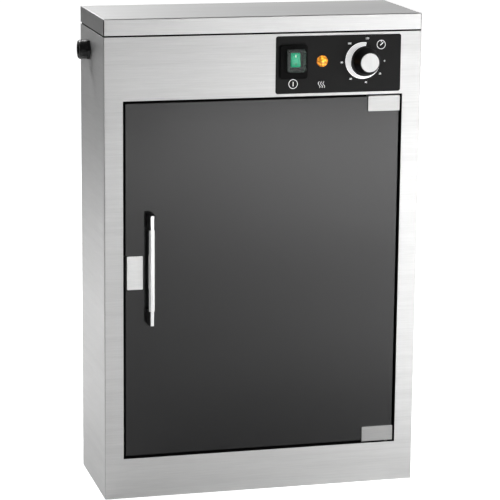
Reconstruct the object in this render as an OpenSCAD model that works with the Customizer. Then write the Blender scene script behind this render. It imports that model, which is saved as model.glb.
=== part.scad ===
// Wall or bench warming cabinet with a smoked glass door, a timer and a lit switch.
// Origin: centre of the flat underside. The front faces -Y, +X is the hinge side, +Z is up.

/* [Cabinet] */
// Width of the steel body
body_w = 400; // [320:1:520]
// Depth of the steel body, without the handle and the knob
body_d = 150; // [140:1:260]
// Height of the body, cap included
body_h = 600; // [490:1:760]
// Thickness of the stainless sheet
sheet_t = 1.0; // [0.8:0.1:1.5]
// Height of the cap's skirt
cap_h = 20; // [16:1:22]
// Height of the gap between the cap's skirt and the body
cap_gap = 2.0; // [1.5:0.1:3]
// How far the rear panel sits inside the body's rear edge
rear_recess = 4.0; // [3.5:0.5:8]

/* [Door] */
// Width of the steel on each side of the door opening
rail_w = 23.5; // [20:0.5:40]
// Height of the steel below the door opening
bottom_rail_h = 51; // [40:1:80]
// Height of the steel above the door opening, cap included
top_band_h = 99.5; // [97:0.5:140]
// Gap between the glass and the edge of the opening
door_gap = 3.2; // [3:0.1:5]
// Thickness of the glass
glass_t = 5.0; // [4:0.5:6]
// How far the glass sits behind the front face
glass_recess = 2.5; // [2.2:0.1:4]
// Distance of the pivot line from the glass's hinge edge
pivot_inset = 7.3; // [7:0.1:9]
// Diameter of the hinge pins
pin_d = 4.0; // [3:0.5:5]
// Length of a hinge clip along the glass
clip_l = 40.5; // [30:0.5:60]
// Height of a hinge clip
clip_h = 19.5; // [16:0.5:30]
// Thickness of a hinge clip's plates
clip_t = 1.6; // [1.2:0.1:2]
// Width of the strike plate
strike_w = 20; // [16:1:22]
// Height of the strike plate
strike_h = 42; // [30:1:60]
// Height of the strike plate's middle above the opening's middle
strike_rise = 12; // [0:1:40]

/* [Handle] */
// Length of the handle
handle_l = 138; // [100:1:200]
// Width of the handle
handle_w = 8; // [7.5:0.5:14]
// Distance from the glass to the front of the handle
handle_out = 16.5; // [14:0.5:30]
// Depth of the bar
bar_d = 8; // [5:0.5:9]
// Height of each end post
post_h = 18; // [12:1:26]
// Width of the bar's flat crest
crest_w = 4.2; // [4:0.1:7]
// Distance of the handle's middle from the glass's free edge
handle_inset = 30.2; // [27:0.1:60]
// Height of the handle's middle above the opening's middle
handle_rise = 16.6; // [-40:0.1:60]

/* [Chamber] */
// Distance from the glass's side edge to the seal
seal_inset_x = 15.3; // [15:0.1:24]
// Distance from the glass's top or bottom edge to the seal
seal_inset_z = 21.5; // [21:0.5:30]
// Width of the door seal
seal_w = 6; // [4:0.5:8]
// Thickness of the chamber's sheet
liner_t = 0.8; // [0.6:0.1:1.2]
// Space behind the chamber for insulation
back_space = 20; // [14:1:40]
// Diameter of a rack's frame rod
rack_rod = 4; // [3:0.5:5]
// Diameter of a rack's cross wires
rack_wire = 2.5; // [2:0.5:3]
// Height of the drip tray
tray_h = 12; // [8:1:20]

/* [Controls] */
// Width of the control overlay
overlay_w = 160; // [150:1:180]
// Height of the control overlay
overlay_h = 71; // [68:1:73]
// Distance from the overlay's right edge to the body's right side
overlay_right = 26.5; // [24:0.5:40]
// Height of the control line above the overlay's lower edge
control_rise = 39.5; // [36:0.5:40]
// Distance of the switch from the overlay's left edge
switch_in = 24.3; // [22:0.1:30]
// Height of the switch above the control line
switch_rise = 2; // [0:0.5:3]
// Distance of the lamp from the overlay's left edge
lamp_in = 58.9; // [54:0.1:66]
// Distance of the timer from the overlay's left edge
timer_in = 111.9; // [104:0.1:118]
// Width of the switch's cut-out in the panel
switch_cut_w = 15.5; // [14:0.1:17]
// Height of the switch's cut-out in the panel
switch_cut_h = 21.5; // [20:0.1:23]
// Distance from the panel to the front of the clear boot
boot_out = 12; // [11:0.5:16]
// Diameter of the pilot lamp's lens
lens_d = 14; // [12:0.5:16]
// Diameter of the timer's shaft
shaft_d = 6; // [5:0.5:7]
// Widest diameter of the timer's knob
knob_d = 37; // [32:0.5:40]
// Distance from the panel to the front of the knob's cap
knob_out = 28; // [24:0.5:32]
// Diameter of the knob's metal cap
knob_cap_d = 23; // [18:0.5:26]
// Number of flutes round the knob
flute_n = 24; // [16:1:30]

/* [Cable gland] */
// Distance of the gland from the body's rear edge
gland_back = 56; // [40:1:90]
// Distance of the gland below the top
gland_drop = 47.5; // [44:0.5:52]
// Diameter of the gland's thread
gland_d = 20; // [16:1:20]
// Distance from the side to the gland's tip
gland_out = 13.5; // [13:0.5:20]
// Diameter of cord that the gland's seal takes
cord_d = 7; // [5:0.5:8]

/* [Wall fixing] */
// Distance between the two wall screws
wall_pitch = 300; // [200:1:310]
// Distance of the wall screws below the top
wall_drop = 40; // [30:1:60]
// Diameter of the wall screw holes
wall_hole_d = 6.5; // [5:0.5:8]

/* [Hidden] */
$fn = 48;

// Clearances
slip = 0.1;          // between fixed sheet parts that lie together
run_clear = 0.04;    // radial, between a pin or shaft and its bush
screw_clear = 0.1;   // radial, between a screw and its hole
seal_clear = 0.2;    // between the closed door and what it meets

// Outer faces
face_y = -body_d / 2;
side_x = body_w / 2;
rear_y = body_d / 2 - rear_recess;
shoulder_z = body_h - cap_h - cap_gap;
rim_in = sheet_t + 0.4;
rim_top = body_h - sheet_t - slip;
rear_flange = 13;
front_return = 12;

// Door opening, glass and pivot
open_x = side_x - rail_w;
open_z0 = bottom_rail_h;
open_z1 = body_h - top_band_h;
open_mid = (open_z0 + open_z1) / 2;
glass_x = open_x - door_gap;
glass_z0 = open_z0 + door_gap;
glass_z1 = open_z1 - door_gap;
glass_y0 = face_y + glass_recess;
glass_y1 = glass_y0 + glass_t;
pivot_x = glass_x - pivot_inset;
pivot_y = (glass_y0 + glass_y1) / 2;

// Surround
surround_t = 1.0;
jamb_x = open_x - slip - surround_t;
jamb_z0 = open_z0 + slip + surround_t;
jamb_z1 = open_z1 - slip - surround_t;
lip = 6;
back_y = glass_y1 + 10.5;

// Seal and chamber
seal_x = glass_x - seal_inset_x;
seal_z0 = glass_z0 + seal_inset_z;
seal_z1 = glass_z1 - seal_inset_z;
cham_x = seal_x - seal_w;
cham_z0 = seal_z0 + seal_w;
cham_z1 = seal_z1 - seal_w;
cham_y1 = rear_y - sheet_t - back_space;

// Hinge parts
pad_t = 0.3;
web_t = 1.2;
clip_x1 = glass_x + 0.4;
clip_x0 = clip_x1 - clip_l;
clip_y0 = glass_y0 - pad_t - clip_t;
clip_y1 = glass_y1 + pad_t + clip_t;
bush_d = pin_d + 2;
bush_flange = 1.0;
// A wide bush keeps its flange clear of the front panel
bush_flange_d = min(bush_d + 1.6, 2 * (pivot_y - face_y - sheet_t - slip));
bracket_t = 2.0;
bracket_l = 32;
grub_d = 4;
grub_xs = [clip_x0 + 10, clip_x0 + 24];

// Strike, catch and handle
strike_x0 = -glass_x + 1.6;
strike_z = open_mid + strike_rise;
strike_t = 1.5;
handle_x = -glass_x + handle_inset;
handle_z = open_mid + handle_rise;
handle_y = glass_y0 - handle_out;
crest_t = 1.5;
screw_z = handle_l / 2 - post_h / 2;
handle_screw_d = 4;

// Racks
rack_n = 3;
cross_wires = 15;
rack_x = cham_x - 3;
rack_y0 = back_y + 9;
rack_y1 = cham_y1 - 6;
ledge_w = 9;
rack_pitch = (cham_z1 - cham_z0) / (rack_n + 1);

// Under and over the chamber
heater_z = cham_z0 - liner_t - slip;
heater_t = 2;
heater_y = 34;
bimetal_y = -11;
deck_z = open_z1 + 7.5;
deck_top = deck_z + sheet_t + slip;
deck_flange = 12;

// Controls
overlay_t = 0.35;
overlay_x0 = side_x - overlay_right - overlay_w;
overlay_z0 = open_z1 + 3.5;
ctrl_z = overlay_z0 + control_rise;
ctrl_y = face_y - overlay_t;
switch_x = overlay_x0 + switch_in;
switch_z = ctrl_z + switch_rise;
lamp_x = overlay_x0 + lamp_in;
timer_x = overlay_x0 + timer_in;
bezel_t = 2.0;
bezel_w = 19;
bezel_h = 25;
boot_t = 1.0;
boot_w = bezel_w + 2 * boot_t + 0.6;
boot_h = bezel_h + 2 * boot_t + 0.6;
boot_lip = 2.7;
frame_x = switch_x - 2;
frame_w = 35;
frame_h = 42;
frame_t = 3.2;
rocker_w = 11.4;
rocker_r = 8.9;
rocker_face = 4.2;
rocker_tilt = 7;
rocker_y = ctrl_y;
lamp_d = 10;
bush_out = 9;
nut_t = 2;
timer_case_w = 46;
timer_case_t = 32;

// Knob: distances from the panel, and the radii there
knob_foot = 1.0;
knob_foot_r = knob_d * 0.385;
knob_step = 8.5;
knob_flange_top = 12.5;
grip_r0 = knob_d / 2 - 1.5;
grip_r1 = knob_cap_d / 2 + 0.8;
grip_top = knob_out - 1.0;
bore_top = knob_out - 6;
flute_d = 2.6;

// Gland
gland_y = body_d / 2 - gland_back;
gland_z = body_h - gland_drop;
gland_hex = gland_d + 3;
gland_flange_t = 4;

screw_d = 3.9;
screw_head_d = 7;
screw_head_t = 2.0;

module box(x0, x1, y0, y1, z0, z1) {
    translate([x0, y0, z0]) cube([x1 - x0, y1 - y0, z1 - z0]);
}

// Box with its edges along Y rounded
module plate_y(x0, x1, z0, z1, y0, y1, r) {
    union() {
        box(x0 + r, x1 - r, y0, y1, z0, z1);
        box(x0, x1, y0, y1, z0 + r, z1 - r);
        for (x = [x0 + r, x1 - r], z = [z0 + r, z1 - r])
            translate([x, y0, z]) rotate([-90, 0, 0]) cylinder(r = r, h = y1 - y0);
    }
}

// Cylinder along +Y
module rod_y(x, z, y0, y1, d) {
    translate([x, y0, z]) rotate([-90, 0, 0]) cylinder(d = d, h = y1 - y0);
}

// Cylinder along +X
module rod_x(y, z, x0, x1, d) {
    translate([x0, y, z]) rotate([0, 90, 0]) cylinder(d = d, h = x1 - x0);
}

// Pan-head screw whose shank points along dir (1 = +Y, -1 = -Y) from the face at y
module screw_y(x, z, y, dir, len, d, head_d, head_t) {
    translate([x, y, z]) rotate([dir > 0 ? -90 : 90, 0, 0]) {
        cylinder(d = d, h = len);
        difference() {
            translate([0, 0, -head_t]) cylinder(d = head_d, h = head_t);
            for (a = [0, 90]) rotate([0, 0, a])
                translate([-head_d * 0.3, -0.4, -head_t - 1]) cube([head_d * 0.6, 0.8, 1 + head_t / 2]);
        }
    }
}

// Rear screw places, as [x, z]
rear_spots = [for (s = [-1, 1], k = [0.1, 0.5, 0.9]) [s * (side_x - 7), k * shoulder_z]];
cap_spots = [for (s = [-1, 1]) [s * body_w * 0.3, body_h - cap_h / 2]];

// --- case ---

module front_panel() color("silver") {
    difference() {
        union() {
            box(-side_x, side_x, face_y, face_y + sheet_t, 0, shoulder_z);
            // Joggled rim behind the cap's skirt
            box(-side_x + 2 * rim_in, side_x - 2 * rim_in, face_y, face_y + rim_in + sheet_t,
                shoulder_z - sheet_t, shoulder_z);
            box(-side_x + 2 * rim_in, side_x - 2 * rim_in, face_y + rim_in, face_y + rim_in + sheet_t,
                shoulder_z - sheet_t, rim_top);
            // Returns inside the wrap
            for (s = [-1, 1]) {
                inner = side_x - sheet_t - 2 * slip;
                box(s > 0 ? inner - sheet_t : -inner, s > 0 ? inner : -inner + sheet_t,
                    face_y, face_y + front_return, sheet_t + 2 * slip, shoulder_z - 2 * sheet_t);
            }
            box(-side_x + 2 * rim_in, side_x - 2 * rim_in, face_y, face_y + front_return,
                sheet_t + 2 * slip, 2 * sheet_t + 2 * slip);
        }
        box(-open_x, open_x, face_y - 1, face_y + 2, open_z0, open_z1);
        box(switch_x - switch_cut_w / 2, switch_x + switch_cut_w / 2, face_y - 1, face_y + 2,
            switch_z - switch_cut_h / 2, switch_z + switch_cut_h / 2);
        rod_y(lamp_x, ctrl_z, face_y - 1, face_y + 2, lamp_d + 2 * screw_clear);
        rod_y(timer_x, ctrl_z, face_y - 1, face_y + 2, bush_out + 2 * screw_clear);
    }
}

module body_wrap() color("silver") {
    y0 = face_y + sheet_t + 2 * slip;
    flange_y = rear_y - sheet_t - slip;
    difference() {
        union() {
            box(-side_x, side_x, y0, body_d / 2, 0, sheet_t);
            for (s = [-1, 1]) mirror([s < 0 ? 1 : 0, 0, 0]) {
                box(side_x - sheet_t, side_x, y0, body_d / 2, 0, shoulder_z);
                box(side_x - rim_in - sheet_t, side_x, y0, body_d / 2, shoulder_z - sheet_t, shoulder_z);
                box(side_x - rim_in - sheet_t, side_x - rim_in, face_y + rim_in + sheet_t + slip,
                    flange_y, shoulder_z - sheet_t, rim_top);
                box(side_x - rear_flange, side_x, flange_y - sheet_t, flange_y, 0, shoulder_z - 6);
            }
            box(-side_x, side_x, flange_y - sheet_t, flange_y, 0, rear_flange);
        }
        rod_x(gland_y, gland_z, -side_x - 1, -side_x + 3, gland_d + 2 * screw_clear);
        for (p = rear_spots) rod_y(p[0], p[1], flange_y - 3, flange_y + 1, screw_d + 2 * screw_clear);
        // The shelf opens for the rear panel
        box(-side_x + sheet_t + slip, side_x - sheet_t - slip, rear_y - sheet_t - slip,
            body_d / 2 + 1, shoulder_z - 2 * sheet_t, body_h);
    }
}

module rear_panel() color("silver") {
    inner = side_x - sheet_t - 2 * slip;
    difference() {
        union() {
            box(-inner, inner, rear_y - sheet_t, rear_y, sheet_t + 2 * slip, shoulder_z);
            box(-inner + 2, inner - 2, rear_y - sheet_t, rear_y, sheet_t + 2 * slip, rim_top);
        }
        for (p = concat(rear_spots, cap_spots))
            rod_y(p[0], p[1], rear_y - 3, rear_y + 2, screw_d + 2 * screw_clear);
        for (s = [-1, 1])
            rod_y(s * wall_pitch / 2, body_h - wall_drop, rear_y - 3, rear_y + 2, wall_hole_d);
    }
}

module top_cap() color("gainsboro") {
    skirt_z0 = body_h - cap_h;
    difference() {
        union() {
            box(-side_x, side_x, face_y, body_d / 2, body_h - sheet_t, body_h);
            box(-side_x, side_x, face_y, face_y + sheet_t, skirt_z0, body_h);
            for (s = [-1, 1]) mirror([s < 0 ? 1 : 0, 0, 0])
                box(side_x - sheet_t, side_x, face_y, body_d / 2, skirt_z0, body_h);
            box(-side_x, side_x, rear_y + slip, rear_y + slip + sheet_t, skirt_z0, body_h);
        }
        for (p = cap_spots) rod_y(p[0], p[1], rear_y - 1, rear_y + 4, screw_d + 2 * screw_clear);
    }
}

module cap_gasket() color("black") {
    inset = 0.5;
    wide = rim_in - inset - slip / 2;
    z0 = shoulder_z;
    z1 = body_h - cap_h;
    union() {
        box(-side_x + inset, side_x - inset, face_y + inset, face_y + inset + wide, z0, z1);
        for (s = [-1, 1]) mirror([s < 0 ? 1 : 0, 0, 0])
            box(side_x - inset - wide, side_x - inset, face_y + inset, rear_y - 2, z0, z1);
    }
}

module door_surround() color("black") {
    y0 = face_y + 0.8;
    notch = bracket_l + 2;
    difference() {
        union() {
            box(-open_x + slip, open_x - slip, y0, back_y - slip, open_z0 + slip, open_z1 - slip);
            box(-open_x - lip, open_x + lip, face_y + sheet_t + slip, face_y + sheet_t + slip + 1.2,
                open_z0 - lip, open_z1 + lip);
        }
        box(-jamb_x, jamb_x, face_y, back_y - slip - surround_t, jamb_z0, jamb_z1);
        box(-seal_x - slip, seal_x + slip, face_y, back_y + 1, seal_z0 - slip, seal_z1 + slip);
        // Notches for the hinge brackets in the front lip
        box(pivot_x - notch / 2, pivot_x + notch / 2, face_y, face_y + 4, open_z1 - slip / 2, open_z1 + lip + 1);
        box(pivot_x - notch / 2, pivot_x + notch / 2, face_y, face_y + 4, open_z0 - lip - 1, open_z0 + slip / 2);
        for (z = [open_z0 - 2, jamb_z1 - 1])
            translate([pivot_x, pivot_y, z]) cylinder(d = bush_d + 2 * screw_clear, h = 4.5);
    }
}

module top_hinge_bracket() color("dimgray") hinge_bracket(open_z1 + slip, 1);
module bottom_hinge_bracket() color("dimgray") hinge_bracket(open_z0 - slip, -1);

// Steel angle behind the front panel that holds a hinge bush; dir is +1 above, -1 below the door
module hinge_bracket(z, dir) {
    x0 = pivot_x - bracket_l / 2;
    x1 = pivot_x + bracket_l / 2 - 1;
    y0 = face_y + sheet_t + slip;
    difference() {
        union() {
            box(x0, x1, y0, back_y - 2, min(z, z + dir * bracket_t), max(z, z + dir * bracket_t));
            box(x0, x1, y0, y0 + 1.5, min(z, z + dir * 13), max(z, z + dir * 13));
        }
        translate([pivot_x, pivot_y, min(z, z + dir * bracket_t) - 1])
            cylinder(d = bush_d + 2 * screw_clear, h = bracket_t + 2);
        // Room for the bush's flange in the upright leg
        translate([pivot_x, pivot_y, z + dir * bracket_t - (dir > 0 ? 0 : bush_flange + 0.5)])
            cylinder(d = bush_flange_d + 0.4, h = bush_flange + 0.5);
    }
}

module top_hinge_bush() color("ivory") {
    z1 = open_z1 + slip + bracket_t;
    difference() {
        union() {
            translate([pivot_x, pivot_y, jamb_z1]) cylinder(d = bush_d, h = z1 - jamb_z1 + bush_flange);
            translate([pivot_x, pivot_y, z1]) cylinder(d = bush_flange_d, h = bush_flange);
        }
        translate([pivot_x, pivot_y, jamb_z1 - 1]) cylinder(d = pin_d + 2 * run_clear, h = 12);
    }
}

module bottom_hinge_bush() color("ivory") {
    z0 = open_z0 - slip - bracket_t;
    thrust_z = glass_z0 - 0.3 - web_t - 0.05;
    difference() {
        union() {
            translate([pivot_x, pivot_y, z0 - bush_flange])
                cylinder(d = bush_d, h = thrust_z - z0 + bush_flange);
            translate([pivot_x, pivot_y, z0 - bush_flange]) cylinder(d = bush_flange_d, h = bush_flange);
        }
        translate([pivot_x, pivot_y, z0 - 3]) cylinder(d = pin_d + 2 * run_clear, h = 14);
    }
}

// --- chamber ---

module chamber_liner() color("lightgray") {
    t = liner_t;
    difference() {
        union() {
            box(-cham_x - t, cham_x + t, back_y, cham_y1 + t, cham_z0 - t, cham_z1 + t);
            box(-open_x + 1, open_x - 1, back_y, back_y + t, open_z0 + 1, open_z1 - 1);
        }
        box(-cham_x, cham_x, back_y - 1, cham_y1, cham_z0, cham_z1);
    }
}

module insulation() color("khaki") {
    x = side_x - 14.5;
    difference() {
        box(-x, x, back_y + 7, rear_y - sheet_t - 2, 16, overlay_z0);
        box(-cham_x - liner_t - slip, cham_x + liner_t + slip, back_y, cham_y1 + liner_t + slip,
            cham_z0 - liner_t - slip, cham_z1 + liner_t + slip);
        box(-cham_x * 0.8, cham_x * 0.8, -heater_y - 6, heater_y + 6, cham_z0 - liner_t - 18, cham_z0);
    }
}

module heater_plate() color("gray") {
    union() {
        box(-cham_x * 0.76, cham_x * 0.76, -heater_y, heater_y, heater_z - heater_t, heater_z);
        for (y = [-22, 0, 22]) rod_x(y, heater_z - heater_t - 2, -cham_x * 0.7, cham_x * 0.7, 5);
    }
}

// Bimetal switch with a flange and two tabs, under the heater plate
module bimetal(x) {
    z1 = heater_z - heater_t;
    union() {
        translate([x, bimetal_y, z1 - 1]) cylinder(d = 16, h = 1 - slip);
        translate([x, bimetal_y, z1 - 9]) cylinder(d = 13, h = 9 - slip);
        for (s = [-1, 1]) translate([x + s * 4 - 1.5, bimetal_y - 0.4, z1 - 15]) cube([3, 0.8, 6.5]);
    }
}

module thermostat() color("ivory") bimetal(-40);
module thermal_cutout() color("darkred") bimetal(40);

// Side frame with a ledge for each rack, against the chamber's left or right wall
module rack_rail(s) {
    z0 = cham_z0 + tray_h + 8;
    z1 = cham_z0 + rack_n * rack_pitch + 8;
    x0 = cham_x - slip;
    mirror([s < 0 ? 1 : 0, 0, 0]) union() {
        for (y = [rack_y0 + 4, rack_y1 - 12])
            box(x0 - 1.2, x0, y, y + 10, z0, z1);
        for (i = [1 : rack_n]) {
            z = cham_z0 + i * rack_pitch;
            box(x0 - 1.2, x0, rack_y0, rack_y1, z - 5, z);
            box(x0 - ledge_w, x0, rack_y0, rack_y1, z - 1.2, z);
        }
    }
}

module left_rack_rail() color("silver") rack_rail(-1);
module right_rack_rail() color("silver") rack_rail(1);

// Welded wire rack that rests on ledge i
module rack(i) {
    z = cham_z0 + i * rack_pitch + rack_rod / 2 + slip;
    span = rack_x - rack_rod / 2;
    union() {
        for (y = [rack_y0 + rack_rod / 2, rack_y1 - rack_rod / 2])
            rod_x(y, z, -span - rack_rod / 8, span + rack_rod / 8, rack_rod);
        for (s = [-1, 1]) rod_y(s * span, z, rack_y0, rack_y1, rack_rod);
        for (k = [1 : cross_wires])
            rod_y(-span + k * 2 * span / (cross_wires + 1), z + 1, rack_y0 + 1, rack_y1 - 1, rack_wire);
    }
}

module lower_rack() color("gainsboro") rack(1);
module middle_rack() color("gainsboro") rack(2);
module upper_rack() color("gainsboro") rack(3);

module drip_tray() color("lightgray") {
    x = cham_x - 6;
    z0 = cham_z0 + slip;
    difference() {
        box(-x, x, rack_y0 - 3, rack_y1, z0, z0 + tray_h);
        box(-x + 1, x - 1, rack_y0 - 2, rack_y1 - 1, z0 + 1, z0 + tray_h + 1);
    }
}

module door_seal() color("black") {
    difference() {
        box(-seal_x, seal_x, glass_y1 + seal_clear, back_y, seal_z0, seal_z1);
        box(-cham_x, cham_x, glass_y1 - 1, back_y + 1, cham_z0, cham_z1);
    }
}

module catch_housing() color("black") {
    x0 = -jamb_x + 1.5;
    x1 = -seal_x - 1;
    y0 = glass_y1 + strike_t + seal_clear;
    difference() {
        box(x0, x1, y0, back_y - surround_t - 2 * slip, strike_z - 19, strike_z + 19);
        box(x0 + 2.5, x1 - 2.5, y0 - 1, y0 + 6, strike_z - 13, strike_z + 13);
    }
}

module catch_magnet() color("gray") {
    x0 = -jamb_x + 4 + slip;
    x1 = -seal_x - 3.5 - slip;
    y0 = glass_y1 + strike_t + seal_clear;
    box(x0, x1, y0 + 0.1, y0 + 5.8, strike_z - 12.8, strike_z + 12.8);
}

module compartment_deck() color("silver") {
    x = side_x - front_return - 2;
    union() {
        box(-x, x, face_y + 4, rear_y - sheet_t - 1.5, deck_z, deck_z + sheet_t);
        for (s = [-1, 1]) mirror([s < 0 ? 1 : 0, 0, 0])
            box(x - sheet_t, x, face_y + 14, rear_y - 16, deck_z, deck_z + deck_flange);
    }
}

// --- controls ---

module control_overlay() color("#2b2b2b") {
    difference() {
        plate_y(overlay_x0, overlay_x0 + overlay_w, overlay_z0, overlay_z0 + overlay_h, ctrl_y, face_y, 3);
        box(switch_x - switch_cut_w / 2, switch_x + switch_cut_w / 2, ctrl_y - 1, face_y + 1,
            switch_z - switch_cut_h / 2, switch_z + switch_cut_h / 2);
        rod_y(lamp_x, ctrl_z, ctrl_y - 1, face_y + 1, lamp_d + 2 * screw_clear);
        rod_y(timer_x, ctrl_z, ctrl_y - 1, face_y + 1, bush_out + 2 * screw_clear);
    }
}

module switch_body() color("#151515") {
    hole = rocker_r + 0.3;
    difference() {
        union() {
            plate_y(switch_x - bezel_w / 2, switch_x + bezel_w / 2, switch_z - bezel_h / 2,
                switch_z + bezel_h / 2, ctrl_y - bezel_t, ctrl_y, 1.5);
            box(switch_x - switch_cut_w / 2 + slip, switch_x + switch_cut_w / 2 - slip,
                ctrl_y - bezel_t / 4, ctrl_y + 25, switch_z - switch_cut_h / 2 + slip, switch_z + switch_cut_h / 2 - slip);
            for (x = [-4, 4], z = [-7, 0, 7])
                box(switch_x + x - 0.4, switch_x + x + 0.4, ctrl_y + 24, ctrl_y + 34,
                    switch_z + z - 2.4, switch_z + z + 2.4);
        }
        box(switch_x - rocker_w / 2 - 0.3, switch_x + rocker_w / 2 + 0.3, ctrl_y - bezel_t - 1,
            rocker_y + 7, switch_z - hole, switch_z + hole);
    }
}

// Outline of the rocker in its middle position, from the pivot: x is upwards, y is outwards
module rocker_outline() {
    intersection() {
        circle(r = rocker_r, $fn = 96);
        polygon([[-rocker_r - 1, -5.5], [rocker_r + 1, -5.5], [rocker_r + 1, rocker_face + 1.2],
            [0, rocker_face - 0.4], [-rocker_r - 1, rocker_face + 1.2]]);
    }
}

module rocker() color("#20b482") {
    translate([switch_x, rocker_y, switch_z]) rotate([-rocker_tilt, 0, 0])
        rotate([0, -90, 180]) translate([0, 0, -rocker_w / 2]) linear_extrude(rocker_w) rocker_outline();
}

module switch_frame() color("#161616") {
    y0 = ctrl_y - frame_t;
    difference() {
        plate_y(frame_x - frame_w / 2, frame_x + frame_w / 2, ctrl_z - frame_h / 2,
            ctrl_z + frame_h / 2, y0, ctrl_y, 3.5);
        box(switch_x - boot_w / 2 - slip, switch_x + boot_w / 2 + slip, y0 - 1, ctrl_y + 1,
            switch_z - boot_h / 2 - slip, switch_z + boot_h / 2 + slip);
        box(switch_x - boot_w / 2 - boot_lip - slip, switch_x + boot_w / 2 + boot_lip + slip,
            ctrl_y - 1.3, ctrl_y + 1, switch_z - boot_h / 2 - boot_lip - slip,
            switch_z + boot_h / 2 + boot_lip + slip);
    }
}

module switch_boot() color([0.8, 0.9, 0.9, 0.5]) {
    y0 = face_y - boot_out;
    difference() {
        union() {
            plate_y(switch_x - boot_w / 2, switch_x + boot_w / 2, switch_z - boot_h / 2,
                switch_z + boot_h / 2, y0, ctrl_y, 3);
            box(switch_x - boot_w / 2 - boot_lip, switch_x + boot_w / 2 + boot_lip, ctrl_y - 1.2, ctrl_y,
                switch_z - boot_h / 2 - boot_lip, switch_z + boot_h / 2 + boot_lip);
        }
        plate_y(switch_x - boot_w / 2 + boot_t, switch_x + boot_w / 2 - boot_t,
            switch_z - boot_h / 2 + boot_t, switch_z + boot_h / 2 - boot_t, y0 + boot_t, ctrl_y + 1, 2);
    }
}

module lamp_lens() color("orange") {
    union() {
        rod_y(lamp_x, ctrl_z, ctrl_y - 1.2, ctrl_y, lens_d);
        translate([lamp_x, ctrl_y - 1.2, ctrl_z]) rotate([90, 0, 0]) {
            cylinder(d1 = lens_d - 1.5, d2 = lens_d - 4, h = 1.6);
            cylinder(d1 = lens_d - 3, d2 = lens_d - 9, h = 2.6);
        }
    }
}

module lamp_body() color("ivory") {
    rod_y(lamp_x, ctrl_z, ctrl_y, ctrl_y + 28, lamp_d);
}

module lamp_nut() color("black") {
    difference() {
        rod_y(lamp_x, ctrl_z, face_y + sheet_t, face_y + sheet_t + 3, 16);
        rod_y(lamp_x, ctrl_z, face_y, face_y + 6, lamp_d + 2 * screw_clear);
    }
}

module timer_body() color("dimgray") {
    y0 = face_y + sheet_t + slip;
    half = timer_case_w / 2;
    difference() {
        union() {
            plate_y(timer_x - half, timer_x + half, ctrl_z - half, ctrl_z + half, y0 + 2,
                y0 + 2 + timer_case_t, 4);
            rod_y(timer_x, ctrl_z, y0, y0 + 3, 16);
            rod_y(timer_x, ctrl_z, ctrl_y - nut_t - 0.5, y0 + 3, bush_out);
            for (s = [-1, 1]) box(timer_x + s * 12 - 3, timer_x + s * 12 + 3, y0 + timer_case_t + 1, y0 + timer_case_t + 10,
                ctrl_z - 0.4, ctrl_z + 0.4);
        }
        rod_y(timer_x, ctrl_z, ctrl_y - 5, y0 + 26, shaft_d + 2 * run_clear);
    }
}

module timer_nut() color("silver") {
    difference() {
        translate([timer_x, ctrl_y - nut_t, ctrl_z]) rotate([-90, 0, 0]) cylinder(d = 15, h = nut_t, $fn = 6);
        rod_y(timer_x, ctrl_z, ctrl_y - nut_t - 1, ctrl_y + 1, bush_out + 2 * screw_clear);
    }
}

module timer_shaft() color("silver") {
    y_tip = face_y - bore_top + 0.5;
    rod_y(timer_x, ctrl_z, y_tip, face_y + sheet_t + 20, shaft_d);
}

module timer_knob() color("#111111") {
    difference() {
        translate([timer_x, face_y, ctrl_z]) rotate([90, 0, 0]) rotate_extrude($fn = 96) polygon([
            [0, knob_foot + 4], [8.5, knob_foot + 4], [8.5, knob_foot], [knob_foot_r, knob_foot],
            [knob_foot_r, knob_step - 1], [knob_d / 2 - 0.6, knob_step], [knob_d / 2, knob_step + 0.8],
            [knob_d / 2, knob_flange_top - 1], [knob_d / 2 - 1, knob_flange_top],
            [grip_r0, knob_flange_top], [grip_r1, grip_top], [knob_cap_d / 2 + 0.1, grip_top],
            [knob_cap_d / 2 + 0.1, grip_top - 1], [0, grip_top - 1]]);
        rod_y(timer_x, ctrl_z, face_y - bore_top, face_y, shaft_d + 2 * run_clear);
        for (k = [0 : flute_n - 1]) {
            a = k * 360 / flute_n;
            flute_r = grip_r0 + 0.9;
            translate([timer_x + flute_r * cos(a), face_y - knob_flange_top - 0.8, ctrl_z + flute_r * sin(a)])
                rotate([90, 0, 0]) cylinder(d = flute_d, h = knob_out, $fn = 16);
        }
    }
}

module knob_cap() color("gainsboro") {
    rod_y(timer_x, ctrl_z, face_y - knob_out, face_y - grip_top + 1 - slip, knob_cap_d);
}

// --- cable gland ---

module gland_body() color("#101010") {
    difference() {
        union() {
            rod_x(gland_y, gland_z, -side_x - gland_flange_t - 5, -side_x + 12, gland_d);
            translate([-side_x - gland_flange_t, gland_y, gland_z]) rotate([0, 90, 0])
                rotate([0, 0, 30]) cylinder(d = gland_hex / cos(30), h = gland_flange_t, $fn = 6);
        }
        rod_x(gland_y, gland_z, -side_x - 20, -side_x + 20, gland_d - 6);
    }
}

module gland_locknut() color("#181818") {
    difference() {
        translate([-side_x + sheet_t, gland_y, gland_z]) rotate([0, 90, 0])
            rotate([0, 0, 30]) cylinder(d = (gland_d + 5) / cos(30), h = 5, $fn = 6);
        rod_x(gland_y, gland_z, -side_x, -side_x + 8, gland_d + 2 * screw_clear);
    }
}

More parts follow.
